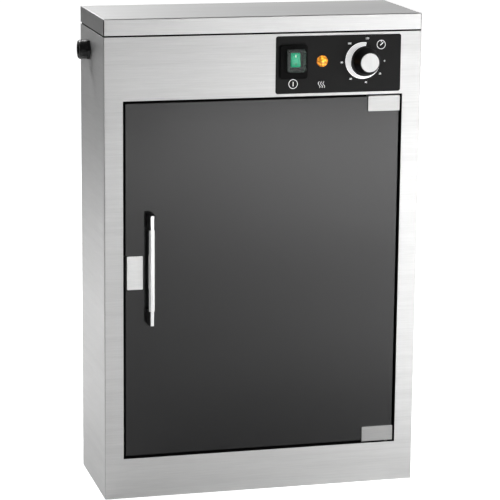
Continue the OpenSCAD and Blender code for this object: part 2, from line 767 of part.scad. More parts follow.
module gland_nut() color("#0c0c0c") {
    x0 = -side_x - gland_out;
    x1 = -side_x - gland_flange_t - slip;
    r = gland_d / 2 + 2;
    difference() {
        translate([x1, gland_y, gland_z]) rotate([0, -90, 0]) rotate_extrude($fn = 64) polygon([
            [0, 0], [r, 0], [r, (x1 - x0) * 0.78], [r - 1.2, x1 - x0], [0, x1 - x0]]);
        rod_x(gland_y, gland_z, -side_x - gland_flange_t - 5.2, x1 + 1, gland_d + 2 * screw_clear);
        rod_x(gland_y, gland_z, x0 - 1, x1, gland_d - 6);
        for (k = [0 : 11]) translate([x1, gland_y, gland_z]) rotate([k * 30, 0, 0])
            translate([-(x1 - x0) * 0.9, r + 0.5, -0.8]) cube([(x1 - x0) * 0.9 + 1, 2, 1.6]);
    }
}

module gland_seal() color("#303030") {
    x0 = -side_x - gland_out + 1.5;
    difference() {
        rod_x(gland_y, gland_z, x0, -side_x - 1, gland_d - 6 - 2 * slip);
        rod_x(gland_y, gland_z, x0 - 1, -side_x, cord_d);
    }
}

// Four ways, each with a screw well from above and a wire hole from the front
module terminal_block() color("ivory") {
    way = 12;
    x0 = -70;
    x1 = x0 + 4 * way;
    y = 21;
    difference() {
        union() {
            box(x0, x1, y - 11, y + 11, deck_top, deck_top + 9);
            box(x0, x1, y - 6, y + 6, deck_top, deck_top + 17);
        }
        for (x = [x0 + way / 2 : way : x1]) {
            translate([x, y, deck_top + 7]) cylinder(d = 6, h = 12);
            rod_y(x, deck_top + 5, y - 13, y + 13, 3.4);
        }
    }
}

module earth_stud() color("goldenrod") {
    translate([-110, 20, deck_top]) union() {
        cylinder(d = 5, h = 20);
        for (z = [0, 9]) translate([0, 0, z]) cylinder(d = 9.2, h = 4, $fn = 6);
    }
}

module rear_screws() color("silver") {
    for (p = rear_spots) screw_y(p[0], p[1], rear_y, -1, 9, screw_d, screw_head_d, screw_head_t);
}

module cap_screws() color("silver") {
    for (p = cap_spots)
        screw_y(p[0], p[1], rear_y + slip + sheet_t, -1, 8, screw_d, screw_head_d, screw_head_t - 0.2);
}

// --- door ---

module door_glass() color([0.25, 0.25, 0.26, 0.8]) {
    difference() {
        plate_y(-glass_x, glass_x, glass_z0, glass_z1, glass_y0, glass_y1, 1);
        for (s = [-1, 1]) rod_y(handle_x, handle_z + s * screw_z, glass_y0 - 1, glass_y1 + 1,
            handle_screw_d + 2);
    }
}

// Bent steel clip over a corner of the glass; dir is +1 at the top, -1 at the bottom
module hinge_clip(dir) {
    edge = dir > 0 ? glass_z1 + 0.3 : glass_z0 - 0.3;
    outer = edge + dir * web_t;
    far = outer - dir * clip_h;
    difference() {
        union() {
            box(clip_x0, clip_x1, clip_y0, clip_y0 + clip_t, min(outer, far), max(outer, far));
            box(clip_x0, clip_x1, clip_y1 - clip_t, clip_y1, min(outer, far), max(outer, far));
            box(clip_x0, clip_x1, clip_y0, clip_y1, min(edge, outer), max(edge, outer));
        }
        translate([pivot_x, pivot_y, min(edge, outer) - 1]) cylinder(d = pin_d + 0.04, h = web_t + 2);
        for (x = grub_xs) rod_y(x, (outer + far) / 2, clip_y1 - clip_t - 1, clip_y1 + 1, grub_d + 0.04);
    }
}

module top_hinge_clip() color("silver") hinge_clip(1);
module bottom_hinge_clip() color("silver") hinge_clip(-1);

module clip_pads() color("black") {
    for (dir = [-1, 1]) {
        edge = dir > 0 ? glass_z1 : glass_z0;
        far = edge - dir * (clip_h - 3);
        for (y = [glass_y0 - pad_t, glass_y1])
            box(clip_x0 + 0.5, glass_x - 0.5, y, y + pad_t, min(edge, far), max(edge, far));
    }
}

module clip_screws() color("silver") {
    for (dir = [-1, 1]) {
        z = (dir > 0 ? glass_z1 : glass_z0) + dir * (0.3 + web_t - clip_h / 2);
        for (x = grub_xs) screw_y(x, z, clip_y1, -1, clip_t, grub_d, grub_d + 2.4, 1.1);
    }
}

module top_hinge_pin() color("silver") {
    translate([pivot_x, pivot_y, glass_z1 + 0.3])
        cylinder(d = pin_d, h = open_z1 + slip + bracket_t + 0.6 - glass_z1 - 0.3);
}

module bottom_hinge_pin() color("silver") {
    z0 = open_z0 - slip - bracket_t - 0.6;
    translate([pivot_x, pivot_y, z0]) cylinder(d = pin_d, h = glass_z0 - 0.3 - z0);
}

module strike_plate() color("gainsboro") {
    plate_y(strike_x0, strike_x0 + strike_w, strike_z - strike_h / 2, strike_z + strike_h / 2,
        glass_y0 - strike_t, glass_y0, 1);
}

module strike_keeper() color("silver") {
    plate_y(strike_x0, -seal_x - 1.5, strike_z - 17, strike_z + 17, glass_y1, glass_y1 + strike_t, 1);
}

// Section of the handle, looking down: x across, y outwards from the back of the bar
module bar_outline(d) {
    w = handle_w / 2;
    flank = crest_t + 1.3;
    polygon([[-w + 0.8, 0], [w - 0.8, 0], [w, 0.8], [w, d - flank], [w - 0.6, d - crest_t - 0.2],
        [crest_w / 2, d - crest_t + 0.6], [crest_w / 2, d - 0.3], [crest_w / 2 - 0.3, d],
        [-crest_w / 2 + 0.3, d], [-crest_w / 2, d - 0.3], [-crest_w / 2, d - crest_t + 0.6],
        [-w + 0.6, d - crest_t - 0.2], [-w, d - flank], [-w, 0.8]]);
}

module handle_bar() color("white") {
    mid = handle_l - 2 * post_h - 2 * slip;
    translate([handle_x, handle_y, handle_z]) union() {
        translate([0, bar_d, -mid / 2]) mirror([0, 1, 0]) linear_extrude(mid) bar_outline(bar_d);
        translate([-crest_w / 2, 0, -handle_l / 2]) cube([crest_w, crest_t, handle_l]);
    }
}

module handle_posts() color("black") {
    for (s = [-1, 1]) difference() {
        translate([handle_x, glass_y0, handle_z + s * screw_z - post_h / 2])
            mirror([0, 1, 0]) linear_extrude(post_h) bar_outline(handle_out);
        box(handle_x - crest_w / 2 - 0.05, handle_x + crest_w / 2 + 0.05, handle_y - 1, handle_y + crest_t + 0.05,
            handle_z - handle_l, handle_z + handle_l);
        rod_y(handle_x, handle_z + s * screw_z, glass_y0 - 11, glass_y0 + 1, handle_screw_d + 0.04);
    }
}

module handle_screws() color("silver") {
    for (s = [-1, 1]) screw_y(handle_x, handle_z + s * screw_z, glass_y1 + 1, -1, glass_t + 11,
        handle_screw_d, 7.5, 2.2);
}

module handle_washers() color("black") {
    for (s = [-1, 1]) difference() {
        rod_y(handle_x, handle_z + s * screw_z, glass_y1, glass_y1 + 1, 10);
        rod_y(handle_x, handle_z + s * screw_z, glass_y1 - 1, glass_y1 + 2, handle_screw_d + 0.2);
    }
}

front_panel();
body_wrap();
rear_panel();
top_cap();
cap_gasket();
door_surround();
chamber_liner();
insulation();
compartment_deck();
left_rack_rail();
right_rack_rail();
lower_rack();
middle_rack();
upper_rack();
drip_tray();
heater_plate();
thermostat();
thermal_cutout();
door_seal();
catch_housing();
catch_magnet();
top_hinge_bracket();
bottom_hinge_bracket();
top_hinge_bush();
bottom_hinge_bush();
control_overlay();
switch_frame();
switch_body();
switch_boot();
rocker();
lamp_lens();
lamp_body();
lamp_nut();
timer_body();
timer_nut();
timer_shaft();
timer_knob();
knob_cap();
gland_body();
gland_nut();
gland_seal();
gland_locknut();
terminal_block();
earth_stud();
rear_screws();
cap_screws();
door_glass();
top_hinge_clip();
bottom_hinge_clip();
clip_pads();
clip_screws();
top_hinge_pin();
bottom_hinge_pin();
strike_plate();
strike_keeper();
handle_posts();
handle_bar();
handle_screws();
handle_washers();
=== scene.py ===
import math

import bmesh
import bpy
from mathutils import Matrix, Vector


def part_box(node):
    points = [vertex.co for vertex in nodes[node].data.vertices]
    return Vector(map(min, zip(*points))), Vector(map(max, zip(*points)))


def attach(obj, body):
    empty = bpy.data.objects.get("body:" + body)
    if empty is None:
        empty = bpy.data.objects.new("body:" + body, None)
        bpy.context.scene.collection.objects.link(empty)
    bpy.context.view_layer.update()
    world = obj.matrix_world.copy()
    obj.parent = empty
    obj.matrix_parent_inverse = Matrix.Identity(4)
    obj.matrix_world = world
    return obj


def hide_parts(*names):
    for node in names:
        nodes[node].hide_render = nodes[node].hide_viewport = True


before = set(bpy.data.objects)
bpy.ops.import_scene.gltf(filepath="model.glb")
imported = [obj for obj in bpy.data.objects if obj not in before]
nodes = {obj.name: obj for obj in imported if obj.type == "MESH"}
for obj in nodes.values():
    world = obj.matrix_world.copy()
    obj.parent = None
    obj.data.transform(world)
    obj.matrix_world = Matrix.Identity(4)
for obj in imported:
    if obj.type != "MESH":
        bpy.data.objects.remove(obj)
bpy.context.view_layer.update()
mm = 0.001


# --- Camera -----------------------------------------------------------------------------------
# A long lens a little to the left of the cabinet and a little above it, rolled by half a degree.
# It stands three metres off, so the upright edges stay nearly parallel.
def stand_camera(turn, rise, roll, distance, across, upward, lens):
    """Aims at a point moved across and upward from the origin; turn, rise and roll are in degrees."""
    turn, rise, roll = (math.radians(angle) for angle in (turn, rise, roll))
    back = Vector((math.sin(turn) * math.cos(rise), -math.cos(turn) * math.cos(rise), math.sin(rise)))
    level = Vector((math.cos(turn), math.sin(turn), 0))
    upright = back.cross(level)
    right = level * math.cos(roll) + upright * math.sin(roll)
    up = upright * math.cos(roll) - level * math.sin(roll)
    data = bpy.data.cameras.new("camera")
    data.sensor_width = 36
    data.lens = lens
    data.clip_end = 200
    camera = bpy.data.objects.new("camera", data)
    bpy.context.scene.collection.objects.link(camera)
    place = Matrix((right, up, back)).transposed().to_4x4()
    place.translation = back * distance + right * across + up * upward
    camera.matrix_world = place
    bpy.context.scene.camera = camera


stand_camera(turn=-14.614, rise=12.303, roll=0.539, distance=3.0275, across=0.0055, upward=0.2869,
             lens=167.92)


# --- Table top and studio light ------------------------------------------------------------------
# A white table top that runs out of sight. A long soft box hangs over it at the front right, whose pool
# of light the door mirrors. Small ones hang at the right side and behind at the left, and one stands at
# the back. The room round them is dim, and a little brighter overhead.
def new_material(name):
    material = bpy.data.materials.new(name)
    material.use_nodes = True
    tree = material.node_tree
    return material, tree.nodes.new, tree.links.new, tree.nodes["Principled BSDF"]


def between(make, link, value, low, high, from_low=0.0, from_high=1.0):
    """Stretches a value onto the range from low to high."""
    ramp = make("ShaderNodeMapRange")
    ramp.inputs["From Min"].default_value = from_low
    ramp.inputs["From Max"].default_value = from_high
    ramp.inputs["To Min"].default_value = low
    ramp.inputs["To Max"].default_value = high
    link(value, ramp.inputs["Value"])
    return ramp.outputs["Result"]


bpy.ops.mesh.primitive_plane_add(size=80)
table = bpy.context.object
table.name = "table_top"
table_white, make, link, table_skin = new_material("table_white")
table_skin.inputs["Base Color"].default_value = (0.8, 0.8, 0.8, 1)
table_skin.inputs["Roughness"].default_value = 0.9
table_skin.inputs["Specular IOR Level"].default_value = 0.1
table_skin.inputs["Emission Color"].default_value = (1, 1, 1, 1)
# The camera alone sees the table lifted to white, a little less close round the cabinet's foot
seen = make("ShaderNodeLightPath")
where = make("ShaderNodeTexCoord")
away = make("ShaderNodeVectorMath")
away.operation = "LENGTH"
link(where.outputs["Object"], away.inputs[0])
lift = make("ShaderNodeMath")
lift.operation = "MULTIPLY"
link(seen.outputs["Is Camera Ray"], lift.inputs[0])
link(between(make, link, away.outputs["Value"], 0.8, 1.0, 0.5, 2.0), lift.inputs[1])
link(lift.outputs[0], table_skin.inputs["Emission Strength"])
table.data.materials.append(table_white)


def soft_box(name, place, target, width, length, watts):
    """A flat lamp at a place, facing its target, that the camera doesn't see."""
    lamp = bpy.data.lights.new(name, "AREA")
    lamp.shape = "RECTANGLE"
    lamp.size = width
    lamp.size_y = length
    lamp.energy = watts
    holder = bpy.data.objects.new(name, lamp)
    bpy.context.scene.collection.objects.link(holder)
    holder.location = place
    holder.rotation_mode = "QUATERNION"
    holder.rotation_quaternion = (Vector(target) - Vector(place)).to_track_quat("-Z", "Y")
    holder.visible_camera = False


soft_box("front_box", (1.15, -2.4, 0.95), (1.15, -2.4, 0), 1.0, 2.2, 74)
soft_box("right_box", (0.8, -0.6, 0.6), (0.8, -0.6, 0), 0.5, 0.7, 9)
soft_box("left_box", (-0.6, 1.0, 1.5), (-0.6, 1.0, 0), 0.9, 0.9, 31)
soft_box("rear_box", (1.3, 3.6, 1.3), (0.1, 0, 0.6), 2.2, 1.3, 8)

room = bpy.data.worlds.new("room")
room.use_nodes = True
bpy.context.scene.world = room
make, link = room.node_tree.nodes.new, room.node_tree.links.new
direction = make("ShaderNodeTexCoord")
parts = make("ShaderNodeSeparateXYZ")
link(direction.outputs["Generated"], parts.inputs[0])
background = room.node_tree.nodes["Background"]
background.inputs["Color"].default_value = (0.2, 0.2, 0.2, 1)
link(between(make, link, parts.outputs["Z"], 0.48, 0.6, 0.0, 0.8), background.inputs["Strength"])
bpy.context.scene.view_settings.view_transform = "Standard"


# --- Front panel --------------------------------------------------------------------------------
# One sheet of 1 mm stainless, brushed across, with the door opening punched out of it. Its upright
# edges are bent back round a small radius to meet the wrap, and the cut edges are only deburred.
def clear_selection():
    """Object mode with nothing selected."""
    if bpy.context.object and bpy.context.object.mode != "OBJECT":
        bpy.ops.object.mode_set(mode="OBJECT")
    bpy.ops.object.select_all(action="DESELECT")


def take(piece):
    """Selects this piece alone and makes it the active one."""
    clear_selection()
    piece.select_set(True)
    bpy.context.view_layer.objects.active = piece


def settle(piece):
    """Puts the piece's place, turn and size into its mesh."""
    take(piece)
    bpy.ops.object.transform_apply(location=True, rotation=True, scale=True)
    return piece


def block(name, low, high):
    """A cube stretched over the box from low to high."""
    low, high = Vector(low), Vector(high)
    clear_selection()
    bpy.ops.mesh.primitive_cube_add(size=1, location=(low + high) / 2)
    piece = bpy.context.object
    piece.name = name
    piece.scale = high - low
    return settle(piece)


def edit(piece, kind, test):
    """Edit mode with just the faces or edges selected whose middle and direction pass the test."""
    take(piece)
    bpy.ops.object.mode_set(mode="EDIT")
    bpy.ops.mesh.select_mode(type=kind)
    bpy.ops.mesh.select_all(action="DESELECT")
    mesh = bmesh.from_edit_mesh(piece.data)
    if kind == "FACE":
        for face in mesh.faces:
            face.select_set(test(face.calc_center_median(), face.normal))
    else:
        for edge in mesh.edges:
            ends = [v.co for v in edge.verts]
            edge.select_set(test((ends[0] + ends[1]) / 2, (ends[1] - ends[0]).normalized()))
    mesh.select_flush_mode()
    bmesh.update_edit_mesh(piece.data)


def leave_edit():
    bpy.ops.object.mode_set(mode="OBJECT")


def push(x, y, z):
    """Extrudes what is selected by this much."""
    bpy.ops.mesh.extrude_region_move(TRANSFORM_OT_translate={"value": (x, y, z)})


def slice_at(piece, place, normal):
    """Cuts the mesh along a plane without taking anything away."""
    take(piece)
    bpy.ops.object.mode_set(mode="EDIT")
    bpy.ops.mesh.select_all(action="SELECT")
    bpy.ops.mesh.bisect(plane_co=place, plane_no=normal)
    leave_edit()


def round_edges(piece, test, radius, segments=5):
    """Rounds the edges that pass the test."""
    edit(piece, "EDGE", test)
    bpy.ops.mesh.bevel(offset=radius, segments=segments, affect="EDGES")
    leave_edit()


def soften(piece, width, segments=2, angle=40):
    """Rounds every edge that is sharper than the angle."""
    take(piece)
    rounder = piece.modifiers.new("rounder", "BEVEL")
    rounder.width = width
    rounder.segments = segments
    rounder.limit_method = "ANGLE"
    rounder.angle_limit = math.radians(angle)
    bpy.ops.object.modifier_apply(modifier=rounder.name)


def mend(piece):
    """Merges doubled points and turns every face outwards."""
    take(piece)
    bpy.ops.object.mode_set(mode="EDIT")
    bpy.ops.mesh.select_all(action="SELECT")
    bpy.ops.mesh.remove_doubles(threshold=0.00001)
    bpy.ops.mesh.normals_make_consistent(inside=False)
    leave_edit()


def thicken(piece, thickness, even=True):
    """Gives a sheet its wall, inwards."""
    take(piece)
    wall = piece.modifiers.new("wall", "SOLIDIFY")
    wall.thickness = thickness
    wall.offset = -1
    wall.use_even_offset = even
    bpy.ops.object.modifier_apply(modifier=wall.name)


def join(piece, *others):
    """Makes the others part of the first piece."""
    take(piece)
    for other in others:
        other.select_set(True)
    bpy.ops.object.join()
    return piece


def fit(piece, body, slot, material, *stands_for, smooth=32):
    """Smooths, paints and hangs a finished piece on its body, in the place of its CAD nodes."""
    take(piece)
    bpy.ops.object.shade_smooth_by_angle(angle=math.radians(smooth))
    # Keeps flat faces flat beside their rounded edges
    level = piece.modifiers.new("level", "WEIGHTED_NORMAL")
    level.weight = 90
    level.keep_sharp = True
    bpy.ops.object.modifier_apply(modifier=level.name)
    piece.data.materials.clear()
    piece.data.materials.append(material)
    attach(piece, body)
    if stands_for:
        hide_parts(*stands_for)
    return piece


def paint(material, *names):
    """Gives CAD nodes that stay in view their finish."""
    for name in names:
        nodes[name].data.materials.clear()
        nodes[name].data.materials.append(material)


def recast(name, node, width, segments=2, angle=40):
    """A merged copy of a CAD part with its edges broken."""
    piece = bpy.data.objects.new(name, nodes[node].data.copy())
    bpy.context.scene.collection.objects.link(piece)
    mend(piece)
    bpy.ops.object.mode_set(mode="EDIT")
    bpy.ops.mesh.select_all(action="SELECT")
    bpy.ops.mesh.dissolve_limited(angle_limit=math.radians(1.5))
    leave_edit()
    soften(piece, width, segments, angle)
    return piece


def new_group(name, inputs, outputs):
    """A shader group whose sockets are numbers, apart from Vector."""
    group = bpy.data.node_groups.new(name, "ShaderNodeTree")
    for socket, value in inputs.items():
        kind = "NodeSocketVector" if socket == "Vector" else "NodeSocketFloat"
        made = group.interface.new_socket(socket, in_out="INPUT", socket_type=kind)
        if value is not None:
            made.default_value = value
    for socket in outputs:
        group.interface.new_socket(socket, in_out="OUTPUT", socket_type="NodeSocketFloat")
    return group, group.nodes.new("NodeGroupInput"), group.nodes.new("NodeGroupOutput")


def noise(make, link, vector, scale, detail, rough=0.5):
    """A noise texture; scale is a number or a socket."""
    texture = make("ShaderNodeTexNoise")
    texture.inputs["Detail"].default_value = detail
    texture.inputs["Roughness"].default_value = rough
    link(vector, texture.inputs["Vector"])
    if isinstance(scale, (int, float)):
        texture.inputs["Scale"].default_value = scale
    else:
        link(scale, texture.inputs["Scale"])
    return texture.outputs["Fac"]


def build_brushing():
    """Long fine scratches, in Vector's own stretch, and cloudy smears where hands and cloths passed."""
    group, given, put = new_group(
        "brushing", {"Vector": None, "Fineness": 900.0}, ["Scratches", "Bands", "Smears"])
    make, link = group.nodes.new, group.links.new
    fine = noise(make, link, given.outputs["Vector"], given.outputs["Fineness"], 3, 0.65)
    broad = make("ShaderNodeMath")
    broad.operation = "MULTIPLY"
    broad.inputs[1].default_value = 0.12
    link(given.outputs["Fineness"], broad.inputs[0])
    bands = noise(make, link, given.outputs["Vector"], broad.outputs[0], 2)
    smears = noise(make, link, given.outputs["Vector"], 7.0, 4)
    link(fine, put.inputs["Scratches"])
    link(bands, put.inputs["Bands"])
    link(smears, put.inputs["Smears"])
    return group


brushing = build_brushing()


def brushed_metal(name, color, stretch, rough, fineness=900, depth=0.012 * mm, tone=0.07, swing=0.04,
                  comb=0.0):
    """Metal brushed along the axis in which stretch is smallest; comb draws its gloss out across that."""
    material, make, link, skin = new_material(name)
    where = make("ShaderNodeTexCoord")
    run = make("ShaderNodeMapping")
    run.inputs["Scale"].default_value = stretch
    link(where.outputs["Object"], run.inputs["Vector"])
    effect = make("ShaderNodeGroup")
    effect.node_tree = brushing
    effect.inputs["Fineness"].default_value = fineness
    link(run.outputs["Vector"], effect.inputs["Vector"])
    blend = make("ShaderNodeMix")
    blend.inputs[0].default_value = 0.35
    link(effect.outputs["Scratches"], blend.inputs[2])
    link(effect.outputs["Bands"], blend.inputs[3])
    shade = make("ShaderNodeMix")
    shade.data_type = "RGBA"
    shade.blend_type = "MULTIPLY"
    shade.inputs[0].default_value = 1
    shade.inputs[6].default_value = (*color, 1)
    link(between(make, link, blend.outputs[0], 1 - tone, 1 + tone, 0.3, 0.7), shade.inputs[7])
    link(shade.outputs[2], skin.inputs["Base Color"])
    link(between(make, link, effect.outputs["Smears"], rough - swing, rough + swing, 0.3, 0.7),
         skin.inputs["Roughness"])
    bump = make("ShaderNodeBump")
    bump.inputs["Strength"].default_value = 0.5
    bump.inputs["Distance"].default_value = depth
    link(effect.outputs["Scratches"], bump.inputs["Height"])
    link(bump.outputs["Normal"], skin.inputs["Normal"])
    skin.inputs["Metallic"].default_value = 1
    skin.inputs["Anisotropic"].default_value = comb
    skin.inputs["Anisotropic Rotation"].default_value = 0.25
    return material


def standing_sheet(name, low, high):
    """A flat sheet standing upright at the front of the box from low to high, with no wall yet."""
    clear_selection()
    bpy.ops.mesh.primitive_plane_add(size=1, rotation=(math.radians(90), 0, 0),
                                     location=((low.x + high.x) / 2, low.y, (low.z + high.z) / 2))
    piece = bpy.context.object
    piece.name = name
    piece.scale = (high.x - low.x, high.z - low.z, 1)
    return settle(piece)


front_brush = brushed_metal("front_brush", (0.64, 0.64, 0.638), (0.03, 1, 1), 0.52, comb=0.2)
touch = 0.01 * mm
deburr = 0.15 * mm
bend = 1.3 * mm
sheet_wall = 0.95 * mm
front_low, front_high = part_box("front_panel")
gasket_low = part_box("cap_gasket")[0].z
surround_low, surround_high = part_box("door_surround")
surround_lip = 6 * mm
open_low = Vector((surround_low.x + surround_lip, 0, surround_low.z + surround_lip))
open_high = Vector((surround_high.x - surround_lip, 0, surround_high.z - surround_lip))


def build_front_panel():
    piece = standing_sheet("front_sheet", Vector((front_low.x, front_low.y, 0)),
                           Vector((front_high.x, front_low.y, gasket_low)))
    for x in (open_low.x, open_high.x):
        slice_at(piece, (x, 0, 0), (1, 0, 0))
    for z in (open_low.z, open_high.z):
        slice_at(piece, (0, 0, z), (0, 0, 1))
    edit(piece, "FACE", lambda c, n: open_low.x < c.x < open_high.x and open_low.z < c.z < open_high.z)
    bpy.ops.mesh.delete(type="FACE")
    edit(piece, "EDGE", lambda c, d: abs(abs(c.x) - front_high.x) < touch)
    push(0, bend + deburr, 0)
    round_edges(piece, lambda c, d: abs(abs(c.x) - front_high.x) < touch and c.y < front_low.y + touch,
                bend * 0.95, 6)
    mend(piece)
    thicken(piece, sheet_wall)
    soften(piece, deburr, 1)
    return piece


fit(build_front_panel(), "root", "brushed_steel", front_brush, "front_panel")


# --- Body wrap, rear panel and their screws --------------------------------------------------------
# The sides and the underside are one bent sheet, brushed from front to back. The rear panel sits in
# it, held by pan-head screws.
side_brush = brushed_metal("side_brush", (0.64, 0.64, 0.638), (1, 0.03, 1), 0.40, comb=0.5)
plain_steel = brushed_metal("plain_steel", (0.55, 0.55, 0.545), (0.3, 1, 1), 0.45, 300, swing=0.07)
paint(side_brush, "body_wrap")
paint(plain_steel, "rear_panel", "rear_screws", "cap_screws", "compartment_deck")


# --- Top cap -------------------------------------------------------------------------------------
# A shallow lid folded from one sheet, rounded at each front corner, where painted shade stands for the seam
# in which its skirts meet. The rear skirt sits in from the edge and is screwed to the rear panel.
def build_top_cap():
    low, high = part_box("top_cap")
    screw_head = 1.8 * mm
    screw_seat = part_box("cap_screws")[1].y - screw_head
    side_gap, top_gap, skirt_wall = 1.2 * mm, 1.1 * mm, 1.0 * mm
    piece = block("cap_lid", low, high)
    edit(piece, "FACE", lambda c, n: n.z < -0.9 or n.y > 0.9)
    bpy.ops.mesh.delete(type="FACE")
    round_edges(piece, lambda c, d: abs(c.z - high.z) < touch and c.y < high.y - touch
                or abs(d.z) > 0.9 and c.y < 0, bend, 6)
    mend(piece)
    thicken(piece, sheet_wall)
    soften(piece, deburr, 1)
    skirt = block("rear_skirt", (low.x + side_gap, screw_seat - skirt_wall, low.z),
                  (high.x - side_gap, screw_seat, high.z - top_gap))
    soften(skirt, deburr, 1)
    return join(piece, skirt)


cap_brush = brushed_metal("cap_brush", (0.64, 0.64, 0.638), (0.03, 1, 1), 0.38)
cap_lid = fit(build_top_cap(), "root", "brushed_steel", cap_brush, "top_cap")


# --- Rubber and dark plastic -----------------------------------------------------------------------
# The strip under the cap, the door's lip seal and the moulded surround in the opening are all dull
# black, and swallow the light in the gap round the glass.
def build_moulded_skin():
    """The fine even grain of a moulded skin, and a slow change of sheen."""
    group, given, put = new_group(
        "moulded_skin", {"Vector": None, "Grain Size": 1500.0}, ["Grain", "Sheen"])
    make, link = group.nodes.new, group.links.new
    link(noise(make, link, given.outputs["Vector"], given.outputs["Grain Size"], 2), put.inputs["Grain"])
    link(noise(make, link, given.outputs["Vector"], 35.0, 3), put.inputs["Sheen"])
    return group


moulded_skin = build_moulded_skin()


def moulded(name, color, rough, swing=0.06, grain=1500, depth=0.02 * mm):
    """Plastic or rubber with a moulded skin; hands back the shader too, for what else it needs."""
    material, make, link, skin = new_material(name)
    where = make("ShaderNodeTexCoord")
    effect = make("ShaderNodeGroup")
    effect.node_tree = moulded_skin
    effect.inputs["Grain Size"].default_value = grain
    link(where.outputs["Object"], effect.inputs["Vector"])
    link(between(make, link, effect.outputs["Sheen"], rough - swing, rough + swing),
         skin.inputs["Roughness"])
    tint = make("ShaderNodeMix")
    tint.data_type = "RGBA"
    tint.inputs[6].default_value = (*[c * 0.88 for c in color], 1)
    tint.inputs[7].default_value = (*[min(1, c * 1.12) for c in color], 1)
    link(effect.outputs["Sheen"], tint.inputs[0])
    link(tint.outputs[2], skin.inputs["Base Color"])
    bump = make("ShaderNodeBump")
    bump.inputs["Strength"].default_value = 0.4
    bump.inputs["Distance"].default_value = depth
    link(effect.outputs["Grain"], bump.inputs["Height"])
    link(bump.outputs["Normal"], skin.inputs["Normal"])
    return material, make, link, skin


black_rubber, _, _, rubber_skin = moulded("black_rubber", (0.003, 0.003, 0.003), 0.75)
rubber_skin.inputs["Specular IOR Level"].default_value = 0.08


def paint_shade_faces(piece, material, test):
    """Gives a finished piece's faces a second material where their direction passes the test; used to paint
    shade.
    """
    piece.data.materials.append(material)
    for face in piece.data.polygons:
        if test(face.normal):
            face.material_index = 1


# Painted shadow: black on the cap's rounded front corners stands for the shade in the open seam where its
# skirts meet
paint_shade_faces(cap_lid, black_rubber,
              lambda normal: abs(normal.x) > 0.3 and normal.y < -0.3 and abs(normal.z) < 0.2)

black_plastic, _, _, plastic_skin = moulded("black_plastic", (0.006, 0.006, 0.007), 0.38)
plastic_skin.inputs["Specular IOR Level"].default_value = 0.4
paint(black_rubber, "cap_gasket", "door_seal", "door_surround", "gland_seal", "clip_pads",
      "handle_washers")
paint(black_plastic, "catch_housing", "switch_body", "gland_locknut", "lamp_nut")


# --- Door glass ------------------------------------------------------------------------------------
# A pane of dark smoked safety glass, polished on both faces; its ground edge is painted dull black as the
# shade in the gap round it. The handle's screws pass through it.
glass_low, glass_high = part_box("door_glass")


def build_pane():
    piece = block("smoked_pane", glass_low, glass_high)
    round_edges(piece, lambda c, d: abs(d.y) > 0.9, 1.0 * mm, 3)
    soften(piece, 0.6 * mm, 2)
    return piece


def smoked_glass():
    material, make, link, skin = new_material("smoked_glass")
    where = make("ShaderNodeTexCoord")
    haze = noise(make, link, where.outputs["Object"], 6.0, 5)
    link(between(make, link, haze, 0.08, 0.14, 0.3, 0.7), skin.inputs["Roughness"])
    skin.inputs["Base Color"].default_value = (0.006, 0.006, 0.0065, 1)
    skin.inputs["IOR"].default_value = 1.55
    skin.inputs["Alpha"].default_value = 0.975
    return material


pane = fit(build_pane(), "door", "smoked_glass", smoked_glass(), "door_glass")
# Painted shade: the pane's edge faces are made black so that the gap round the glass reads dark
ground_rim_painted_shade, _, _, rim_shade_skin = moulded("ground_rim_painted_shade", (0.003, 0.003, 0.003), 0.6)
rim_shade_skin.inputs["Specular IOR Level"].default_value = 0.05
paint_shade_faces(pane, ground_rim_painted_shade, lambda normal: abs(normal.y) < 0.5)


# --- Hinge clips, pins and strike plate --------------------------------------------------------------
# Each clip is a steel strip bent over a corner of the glass and nipped by two screws from inside; a
# riveted pin turns in a nylon bush. The strike plate at the free edge meets the magnetic catch.
clip_brush = brushed_metal("clip_brush", (0.47, 0.47, 0.466), (0.05, 1, 1), 0.28, 1200)


def build_clip(name, node, up):
    """Up is 1 for the clip that wraps the top of the glass and -1 for the one at the bottom."""
    low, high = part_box(node)
    outer_z, far_z = (high.z, low.z) if up > 0 else (low.z, high.z)
    strip_wall, strip_bend, corner = 1.4 * mm, 1.1 * mm, 0.8 * mm
    piece = standing_sheet(name, low, high)
    edit(piece, "EDGE", lambda c, d: abs(c.z - outer_z) < touch)
    push(0, high.y - low.y, 0)
    push(0, 0, far_z - outer_z)
    round_edges(piece, lambda c, d: abs(c.z - outer_z) < touch and abs(d.x) > 0.9, strip_bend, 4)
    mend(piece)
    thicken(piece, strip_wall)
    round_edges(piece, lambda c, d: abs(d.y) > 0.9 and abs(c.z - far_z) < touch, corner, 3)
    soften(piece, 0.2 * mm, 2)
    return piece


fit(build_clip("top_clip", "top_hinge_clip", 1), "door", "brushed_steel", clip_brush, "top_hinge_clip")
fit(build_clip("bottom_clip", "bottom_hinge_clip", -1), "door", "brushed_steel", clip_brush,
    "bottom_hinge_clip")


def build_strike_plate():
    piece = block("strike_tab", *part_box("strike_plate"))
    round_edges(piece, lambda c, d: abs(d.y) > 0.9, 1.0 * mm, 4)
    soften(piece, 0.25 * mm, 2)
    return piece


tab_brush = brushed_metal("tab_brush", (0.74, 0.74, 0.735), (0.05, 1, 1), 0.32, 1200)
fit(build_strike_plate(), "door", "brushed_steel", tab_brush, "strike_plate")
paint(plain_steel, "strike_keeper", "clip_screws", "handle_screws", "top_hinge_pin", "bottom_hinge_pin",
      "top_hinge_bracket", "bottom_hinge_bracket", "timer_nut", "timer_shaft")


